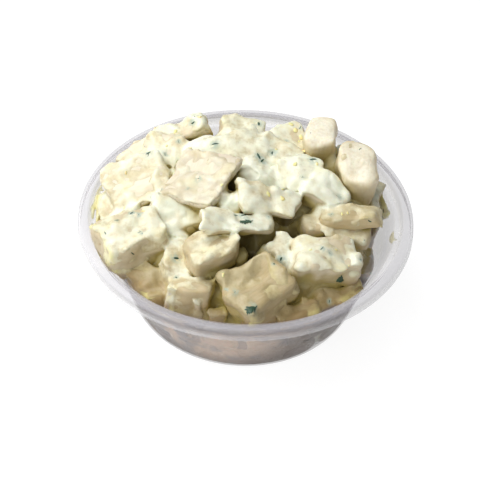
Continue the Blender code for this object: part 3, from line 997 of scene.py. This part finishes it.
def lay_crumbs(ground, material):
    """Grated yellow bits: small uneven lumps, half sunk in the dressing."""
    rng = random.Random(SEED + 92)
    ways, quads = lattice(4)
    ways = ways / np.linalg.norm(ways, axis=1, keepdims=True)
    parts = []
    landings = [
        (ground.hit(Vector(place) + 60 * view_way(), -view_way()), size)
        for *place, size in CRUMBS
    ]
    landings += [(ground.hit(*from_sky(rng)), rng.uniform(0.5, 1.3)) for _ in range(SCATTERED_CRUMBS)]
    for number, (landing, size) in enumerate(landings):
        if landing is None or landing[0].z < 30:
            continue
        spot, normal = landing
        turn = np.array(normal.to_track_quat("Z", "X").to_matrix())
        wide = np.array((size * rng.uniform(0.6, 1.2), size * rng.uniform(0.4, 0.8), size * 0.3))
        lumps = 1 + 0.3 * waves((2.5 * ways).T, 2.5, SEED + 90 + number)
        parts.append((np.array(spot) + (ways * wide * lumps[:, None]) @ turn.T, quads))
    make_piece("yellow_crumbs", *joined(parts), material, "creamy_salad")


def smear(direction, height, width, tall, thickness, seed):
    """A smear on the tub's inner wall: a lens with a wavy outline, whose round side stands off
    the wall by thickness * sqrt(1 - rho^2) and whose flat side lies just inside the plastic."""
    across = np.concatenate([np.linspace(0, 1, 9), np.linspace(1, 0, 5)[1:]])
    proud = np.concatenate([np.ones(9), np.zeros(4)])
    turn = np.arange(28) * math.tau / 28
    rho, phi = across[:, None], turn[None, :]
    outline = 1 + 0.22 * np.sin(2 * phi + seed) + 0.14 * np.sin(3 * phi + 2.1 * seed)
    outline += 0.05 * np.sin(5 * phi + 1.3 * seed)
    u, v = rho * outline * np.cos(phi) * width / 2, rho * outline * np.sin(phi) * tall / 2
    z = height + v
    lumps = 1 + 0.35 * np.sin(1.3 * u + seed) * np.cos(1.7 * v + 2 * seed)
    off = proud[:, None] * thickness * np.sqrt(1 - 0.98 * rho**2) * lumps
    inward = np.where(proud[:, None] > 0, off, -0.2)
    radius = inner_radius(z) - inward
    angle = math.radians(direction) + u / 62.0
    points = np.stack([radius * np.cos(angle), radius * np.sin(angle), z], axis=-1)
    return points.reshape(-1, 3), grid_faces(len(across), len(turn))


def lay_smears(material):
    """Dressing left on the tub's inner wall above the heap."""
    rng = random.Random(SEED + 95)
    parts = [smear(*each, SEED + i) for i, each in enumerate(SMEARS)]
    for _ in range(SCATTERED_SMEARS):
        direction, height = rng.uniform(0, 360), rng.uniform(36.0, 42.0)
        wide = rng.uniform(1.0, 3.5)
        shape = (direction, height, wide, rng.uniform(0.6, 1.6), rng.uniform(0.15, 0.5))
        parts.append(smear(*shape, rng.uniform(0, 9)))
    make_piece("wall_smears", *joined(parts), material, "creamy_salad")


def stain(piece, spots):
    """Marks how close each point of a piece is to the herbs: 1 at a spot, 0 past its radius."""
    points = mesh_points(piece.data)
    near = np.zeros(len(points))
    for x, y, z, radius in spots:
        apart = np.linalg.norm(points - (x, y, z), axis=1)
        near = np.maximum(near, 1 - smooth_step(0.2 * radius, radius, apart))
    set_values(piece.data, stain=near)


# Materials


def colour(red, green, blue):
    """A linear colour from its 0 to 255 display values."""
    parts = [value / 255 for value in (red, green, blue)]
    linear = [p / 12.92 if p <= 0.04045 else ((p + 0.055) / 1.055) ** 2.4 for p in parts]
    return (*linear, 1.0)


class Finish:
    """A material's nodes, put together by short calls."""

    def __init__(self, name):
        self.material = bpy.data.materials.new(name)
        self.material.use_nodes = True
        self.nodes = self.material.node_tree.nodes
        self.links = self.material.node_tree.links
        self.shader = self.nodes["Principled BSDF"]
        self.place = self.nodes.new("ShaderNodeTexCoord").outputs["Object"]

    def put(self, socket, value):
        """A value, or another node's output, into a socket."""
        if isinstance(value, bpy.types.NodeSocket):
            self.links.new(value, socket)
        else:
            socket.default_value = value

    def set(self, **values):
        for name, value in values.items():
            self.put(self.shader.inputs[name.replace("_", " ")], value)

    def noise(self, size, detail=3.0, roughness=0.55, place=None, distortion=0.0):
        """Cloudy noise whose largest lumps are about size millimetres, in metres of the object."""
        node = self.nodes.new("ShaderNodeTexNoise")
        node.inputs["Scale"].default_value = 1 / (size * (MM if place is None else 1.0))
        node.inputs["Detail"].default_value = detail
        node.inputs["Roughness"].default_value = roughness
        node.inputs["Distortion"].default_value = distortion
        self.links.new(self.place if place is None else place, node.inputs["Vector"])
        return node.outputs["Fac"]

    def attribute(self, name, output="Fac"):
        node = self.nodes.new("ShaderNodeAttribute")
        node.attribute_name = name
        return node.outputs[output]

    def between(self, value, low, high, low_result=0.0, high_result=1.0):
        """A smooth step of a value from one range to another."""
        node = self.nodes.new("ShaderNodeMapRange")
        node.interpolation_type = "SMOOTHSTEP"
        for socket, number in zip(node.inputs[1:5], (low, high, low_result, high_result)):
            socket.default_value = number
        self.put(node.inputs[0], value)
        return node.outputs[0]

    def sum(self, *values, kind="ADD"):
        total = values[0]
        for value in values[1:]:
            node = self.nodes.new("ShaderNodeMath")
            node.operation = kind
            self.put(node.inputs[0], total)
            self.put(node.inputs[1], value)
            total = node.outputs[0]
        return total

    def times(self, *values):
        return self.sum(*values, kind="MULTIPLY")

    def mix(self, share, first, last):
        """The first colour where the share is 0, the last where it is 1."""
        node = self.nodes.new("ShaderNodeMix")
        node.data_type = "RGBA"
        self.put(node.inputs[0], share)
        self.put(node.inputs[6], first)
        self.put(node.inputs[7], last)
        return node.outputs[2]

    def ramp(self, value, *stops):
        """A colour between the stops, each a value from 0 to 1 and its colour."""
        node = self.nodes.new("ShaderNodeValToRGB")
        marks = node.color_ramp.elements
        for number, (position, shade) in enumerate(stops):
            mark = marks[number] if number < 2 else marks.new(position)
            mark.position = position
            mark.color = shade
        self.put(node.inputs[0], value)
        return node.outputs[0]

    def along(self, axis):
        """How far along one of the object's axes a place is, in metres."""
        split = self.nodes.new("ShaderNodeSeparateXYZ")
        self.links.new(self.place, split.inputs[0])
        return split.outputs[axis]

    def painted_front_shade(self):
        """How much painted shade browns the front of the heap: most just under the rim in front, none
        high on the heap, at the back or where it is pressed against the wall."""
        uneven = self.sum(self.times(self.noise(7.0), 8 * MM), -4 * MM)
        high = self.between(self.sum(self.along(2), uneven), 48 * MM, 40 * MM, 0.0, 0.7)
        front = self.between(self.along(1), 0.0, -24 * MM)
        return self.times(high, front, self.between(self.along(2), 30 * MM, 34 * MM))

    def painted_shade_by_hidden_sky(self, shade, deepest):
        """Painted shade: yellow olive where little sky is seen and dark olive where there is hardly
        any, by the deepest share."""
        closed = self.attribute("closed")
        half = self.between(closed, 0.44, 0.72, 0.0, 0.9 * deepest)
        shade = self.mix(half, shade, colour(186, 170, 98))
        return self.mix(self.between(closed, 0.7, 1.0, 0.0, deepest), shade, colour(84, 66, 20))

    def wall_side(self):
        """Food against the tub's wall: pinkish tan with mauve grey patches, with painted shade darker
        low down and brown at the front's lower right, and painted light, a pale grey, high on the right
        where that part lies in shade."""
        across, high = self.along(0), self.between(self.along(2), 24 * MM, 30 * MM)
        front = self.between(self.along(1), -14 * MM, -34 * MM)
        wide = self.times(across, across, front, 0.1 / (25 * MM) ** 2)
        patches = self.between(self.sum(self.noise(11.0, 3.0, 0.5), wide), 0.48, 0.68)
        shade = self.mix(self.noise(3.0), colour(220, 192, 166), colour(198, 172, 150))
        shade = self.mix(patches, shade, colour(146, 137, 134))
        # Painted shade: dark brown at the front's lower right.
        shade = self.mix(self.times(self.painted_shade_lower_right(), 0.9), shade, colour(84, 66, 54))
        # Painted light: pale grey high on the right, where that part lies in shade.
        right = self.between(across, 46 * MM, 54 * MM)
        shade = self.mix(self.times(high, right), shade, colour(236, 232, 230))
        # Painted shade: darker low down.
        low = self.between(self.along(2), 14 * MM, 0.0, 0.0, 0.8)
        return self.mix(low, shade, colour(96, 80, 70))

    def painted_shade_lower_right(self):
        """How near a place is to the lower right of the front, the side away from the light, where
        painted shade lies.
        """
        slant = self.sum(self.along(0), self.times(self.along(2), -1.0))
        front = self.between(self.along(1), -14 * MM, -34 * MM)
        return self.times(self.between(slant, -22 * MM, 12 * MM), front)

    def stretched(self, vector, scale):
        node = self.nodes.new("ShaderNodeMapping")
        node.inputs["Scale"].default_value = scale
        self.links.new(vector, node.inputs["Vector"])
        return node.outputs[0]

    def bump(self, height, strength, distance):
        """Fine relief, where the distance is in millimetres for a height of 1."""
        node = self.nodes.new("ShaderNodeBump")
        node.inputs["Strength"].default_value = strength
        node.inputs["Distance"].default_value = distance * MM
        self.links.new(height, node.inputs["Height"])
        self.links.new(node.outputs[0], self.shader.inputs["Normal"])


def plastic_finish():
    """Thin polypropylene: milky, cloudy in patches, with a satin gloss, faintly lavender at the rim and
    paler on the lip's top. Painted shade darkens it towards the foot, to brown in the foot's corner
    and at the front's lower right, draws a dark line at the body's top step and greys the skirt; a
    painted highlight whitens a band over the seat and the skirt's bottom bead."""
    finish = Finish("clear_plastic")
    # Painted light and shade by height: shade darkening towards the foot, a dark line at the body's top
    # step and a grey skirt, and a white highlight band over the seat and the skirt's bottom bead.
    tint = finish.ramp(
        finish.times(finish.along(2), 1 / tub_high.z),
        (0.02, colour(80, 68, 62)),
        (1.0, colour(210, 208, 218)),
        (0.2, colour(126, 118, 112)),
        (0.4, colour(166, 162, 160)),
        (0.78, colour(170, 166, 168)),
        (0.795, colour(112, 109, 124)),
        (0.81, colour(112, 109, 124)),
        (0.825, colour(202, 200, 208)),
        (0.89, colour(202, 200, 208)),
        (0.905, colour(255, 255, 255)),
        (0.935, colour(255, 255, 255)),
        (0.945, colour(124, 119, 116)),
        (0.98, colour(138, 134, 132)),
    )
    tint = finish.mix(finish.noise(22.0, 2.0, 0.3), tint, colour(176, 173, 178))
    # Painted shade: brown low on the front's lower right, the side away from the light.
    low = finish.between(finish.along(2), 34 * MM, 24 * MM, 0.0, 0.9)
    tint = finish.mix(finish.times(low, finish.painted_shade_lower_right()), tint, colour(78, 64, 54))
    finish.set(Base_Color=tint, Alpha=0.31)
    finish.set(Roughness=finish.between(finish.noise(9.0), 0.3, 0.7, 0.2, 0.34))
    finish.set(IOR=1.49)
    finish.bump(finish.noise(12.0, 2.0), 0.12, 0.5)
    return finish.material


def dressing_finish():
    """Dressing: cream white with a green cast where it is thick, warmer where flesh shows through,
    yellow in places and grey green round the herbs, with painted shade darker in the hollows and
    low at the front, and painted light paler grey low on the right."""
    finish = Finish("dressing")
    depth = finish.sum(finish.attribute("depth"), finish.times(finish.noise(2.6), 1.2), -0.6)
    thick = finish.between(depth, -0.3, 1.1)
    cream = finish.mix(finish.noise(9.0, 5.0, 0.6), colour(230, 237, 214), colour(250, 248, 230))
    warm = finish.mix(finish.noise(4.0), colour(208, 194, 154), colour(232, 224, 192))
    shade = finish.mix(thick, warm, cream)
    edge = finish.between(depth, 0.3, -0.3, 0.0, 0.8)
    shade = finish.mix(edge, shade, colour(198, 183, 144))
    tone = finish.sum(finish.attribute("tone"), finish.noise(3.0), -0.5)
    # Tan and olive tan for low tones, which on the front pieces are partly painted shade.
    shade = finish.mix(finish.between(tone, 0.5, -0.1, 0.0, 0.8), shade, colour(194, 179, 136))
    shade = finish.mix(finish.between(tone, 0.0, -0.8, 0.0, 0.7), shade, colour(172, 155, 112))
    shade = finish.mix(finish.between(tone, 1.0, 1.8, 0.0, 0.85), shade, colour(208, 198, 180))
    yellow = finish.between(finish.noise(12.0, 4.0, 0.6), 0.52, 0.7, 0.0, 0.3)
    shade = finish.mix(yellow, shade, colour(236, 226, 166))
    # Painted shade: browner low at the front of the heap.
    shade = finish.mix(finish.painted_front_shade(), shade, colour(160, 134, 84))
    film = finish.times(finish.attribute("film"), finish.between(finish.noise(6.0), 0.3, 0.6))
    shade = finish.mix(finish.times(film, 0.7), shade, colour(226, 216, 146))
    herb = finish.times(finish.attribute("stain"), finish.between(finish.noise(1.8), 0.32, 0.56))
    shade = finish.mix(finish.times(herb, 0.8), shade, colour(166, 184, 170))
    shade = finish.mix(finish.times(finish.attribute("pressed"), 0.95), shade, finish.wall_side())
    # Painted light: paler grey low on the right, lifting that part out of its shade.
    low = finish.between(finish.along(2), 36 * MM, 32 * MM, 0.0, 0.8)
    right = finish.between(finish.along(0), 48 * MM, 53 * MM)
    shade = finish.mix(finish.times(low, right), shade, colour(220, 214, 211))
    # Painted shade: olive in the hollows, where little sky is seen.
    shade = finish.painted_shade_by_hidden_sky(shade, 0.95)
    finish.set(Base_Color=shade, Subsurface_Weight=0.2, Subsurface_Scale=0.0025)
    finish.set(Subsurface_Radius=(1.0, 0.8, 0.5), IOR=1.42)
    finish.set(Roughness=finish.between(finish.noise(3.0), 0.3, 0.7, 0.22, 0.5))
    grain = finish.sum(finish.noise(2.4, 4.0, 0.62), finish.times(finish.noise(0.7, 2.0), 0.3))
    finish.bump(grain, 0.6, 0.4)
    return finish.material


def smear_finish():
    """Thin dressing on plastic: yellow cream, oily and glossy."""
    finish = Finish("smear")
    shade = finish.mix(finish.noise(3.0), colour(238, 228, 158), colour(248, 242, 200))
    finish.set(Base_Color=shade, Roughness=0.3, Alpha=0.4, IOR=1.45)
    finish.bump(finish.noise(1.2), 0.4, 0.2)
    return finish.material


def herb_finish():
    """Wet dill: dark blue green, with lighter and more olive parts."""
    finish = Finish("dill")
    shade = finish.mix(finish.noise(1.5, 2.0), colour(22, 58, 48), colour(74, 102, 76))
    finish.set(Base_Color=shade, Subsurface_Weight=0.1, Subsurface_Scale=0.0005)
    finish.set(Roughness=finish.between(finish.noise(0.8), 0.3, 0.7, 0.3, 0.55))
    finish.bump(finish.noise(0.4), 0.4, 0.08)
    return finish.material


def crumb_finish():
    """Yellow crumbs, wet on top."""
    finish = Finish("crumbs")
    shade = finish.mix(finish.noise(2.0), colour(236, 216, 128), colour(246, 238, 188))
    finish.set(Base_Color=shade, Subsurface_Weight=0.3, Subsurface_Scale=0.001)
    finish.set(Roughness=finish.between(finish.noise(1.0), 0.3, 0.7, 0.35, 0.6))
    finish.bump(finish.noise(0.5), 0.6, 0.12)
    return finish.material


def palm_finish(name, pale, tan, outside, painted_foot_shade, dotted, deepest):
    """Palm heart: fibres along the piece, small dots on its ends, painted shade low at the front,
    and painted shade, by the deepest share, where little sky is seen. Outside is how much tanner
    its long sides are than its ends, and the share after it how much painted shade browns the
    piece low down, below 60 mm."""
    finish = Finish(name)
    place = finish.attribute("place", "Vector")
    fibres = finish.noise(1.1, 3.0, 0.6, finish.stretched(place, (0.12, 1, 1)))
    blotches = finish.noise(5.0, 3.0, 0.6, place)
    sides = finish.sum(finish.times(finish.attribute("ends"), outside), -outside)
    share = finish.sum(finish.attribute("tone"), sides, finish.times(blotches, 0.9), -0.45)
    shade = finish.mix(finish.between(share, 0.0, 1.0), tan, pale)
    shade = finish.mix(finish.between(share, 1.0, 2.0), shade, colour(212, 201, 183))
    # Olive tan for low tones, which on the front pieces is partly painted shade.
    shade = finish.mix(finish.between(share, 0.0, -0.9, 0.0, 0.9), shade, colour(168, 150, 106))
    # Painted shade: browner low down on the piece.
    foot = finish.between(finish.along(2), 60 * MM, 52 * MM, 0.0, painted_foot_shade)
    shade = finish.mix(foot, shade, colour(156, 136, 88))
    streak = finish.between(fibres, 0.35, 0.7, 0.0, 0.3)
    shade = finish.mix(streak, shade, colour(212, 194, 158))
    dots = finish.between(finish.noise(1.6, 0.0, 0.5, place), 0.7, 0.78, 0.0, dotted)
    shade = finish.mix(finish.times(dots, finish.attribute("ends")), shade, colour(168, 140, 100))
    # Painted shade: browner low at the front of the heap.
    shade = finish.mix(finish.painted_front_shade(), shade, colour(158, 130, 82))
    # Painted shade: olive in the hollows, where little sky is seen.
    shade = finish.painted_shade_by_hidden_sky(shade, deepest)
    finish.set(Base_Color=shade, Subsurface_Weight=0.25, Subsurface_Scale=0.003)
    finish.set(Subsurface_Radius=(1.0, 0.7, 0.45), IOR=1.4)
    finish.set(Roughness=finish.between(blotches, 0.3, 0.7, 0.3, 0.5))
    finish.bump(finish.sum(fibres, finish.times(blotches, 0.6)), 0.6, 0.3)
    return finish.material


def pressed_finish():
    """Pieces against the tub's wall and floor."""
    finish = Finish("pressed_flesh")
    finish.set(Base_Color=finish.wall_side(), Subsurface_Weight=0.3, Subsurface_Scale=0.003)
    finish.set(Roughness=finish.between(finish.noise(5.0), 0.3, 0.7, 0.3, 0.5))
    finish.bump(finish.noise(1.6), 0.5, 0.3)
    return finish.material


def floor_finish():
    """A pale studio floor that glows a little, so that shadows on it stay faint."""
    finish = Finish("pale_floor")
    finish.set(Base_Color=finish.mix(finish.noise(60.0), colour(134, 134, 134), colour(140, 140, 140)))
    finish.set(Roughness=0.9, Emission_Color=(1.0, 1.0, 1.0, 1.0), Emission_Strength=0.88)
    return finish.material


# Floor, light and camera


def add_floor():
    half = 3.0
    mesh = bpy.data.meshes.new("floor")
    corners = [(-half, -half, 0), (half, -half, 0), (half, half, 0), (-half, half, 0)]
    mesh.from_pydata(corners, [], [(0, 1, 2, 3)])
    mesh.materials.append(floor_finish())
    floor = bpy.data.objects.new("floor", mesh)
    bpy.context.scene.collection.objects.link(floor)


def add_light(name, place, size, power):
    light = bpy.data.lights.new(name, "AREA")
    light.size = size
    light.energy = power
    lamp = bpy.data.objects.new(name, light)
    lamp.location = place
    lamp.rotation_euler = (-Vector(place)).to_track_quat("-Z", "Y").to_euler()
    bpy.context.scene.collection.objects.link(lamp)


def add_world(strength):
    world = bpy.data.worlds.new("studio")
    world.use_nodes = True
    background = world.node_tree.nodes["Background"]
    background.inputs["Color"].default_value = (1.0, 1.0, 1.0, 1.0)
    background.inputs["Strength"].default_value = strength
    bpy.context.scene.world = world


def add_camera():
    data = bpy.data.cameras.new("camera")
    data.sensor_width = 36.0
    data.lens = CAMERA_LENS
    data.clip_start = 0.01
    camera = bpy.data.objects.new("camera", data)
    tilt = math.radians(CAMERA_ELEVATION)
    back = Vector((0.0, -math.cos(tilt), math.sin(tilt)))
    camera.location = (Vector(CAMERA_TARGET) + back * CAMERA_DISTANCE) * MM
    camera.rotation_mode = "QUATERNION"
    aim = (-back).to_track_quat("-Z", "Y")
    roll = Matrix.Rotation(math.radians(CAMERA_ROLL), 4, "Z").to_quaternion()
    camera.rotation_quaternion = aim @ roll
    bpy.context.scene.collection.objects.link(camera)
    bpy.context.scene.camera = camera


fillers = filler_cuts()
lowers = lower_cuts()
upper = list(CUTS.values()) + fillers
numbered = list(enumerate(upper + lowers))
hearts = [numbered[list(CUTS).index(name)] for name in HEARTS]
named = [pair for pair in numbered[: len(CUTS)] if pair not in hearts]

heap = heap_fields(upper + lowers)
build_tub(plastic_finish())
dressing = build_dressing(heap, dressing_finish())
palm = palm_finish("palm_flesh", colour(234, 224, 199), colour(192, 174, 133), 0.0, 0.0, 0.4, 0.95)
ivory = palm_finish("heart_flesh", colour(247, 242, 222), colour(214, 199, 162), 0.7, 0.8, 0.12, 0.6)
laid = [
    dressing,
    build_palm("palm_pieces", heap, named, 22, palm),
    build_palm("palm_fill", heap, numbered[len(CUTS) : len(upper)], 16, palm),
    build_palm("heart_cuts", heap, hearts, 40, ivory),
]
build_palm("palm_low", heap, numbered[len(upper) :], 14, pressed_finish())
ground = Ground(laid)
stain(dressing, lay_herbs(ground, herb_finish()))
lay_crumbs(ground, crumb_finish())
lay_smears(smear_finish())

add_floor()
add_light("key", (-0.19, 0.09, 0.4), 0.35, 1.75)
add_light("fill", (-0.32, -0.42, 0.4), 0.5, 1.9)
add_world(0.2)
add_camera()
bpy.context.scene.view_settings.view_transform = "Standard"
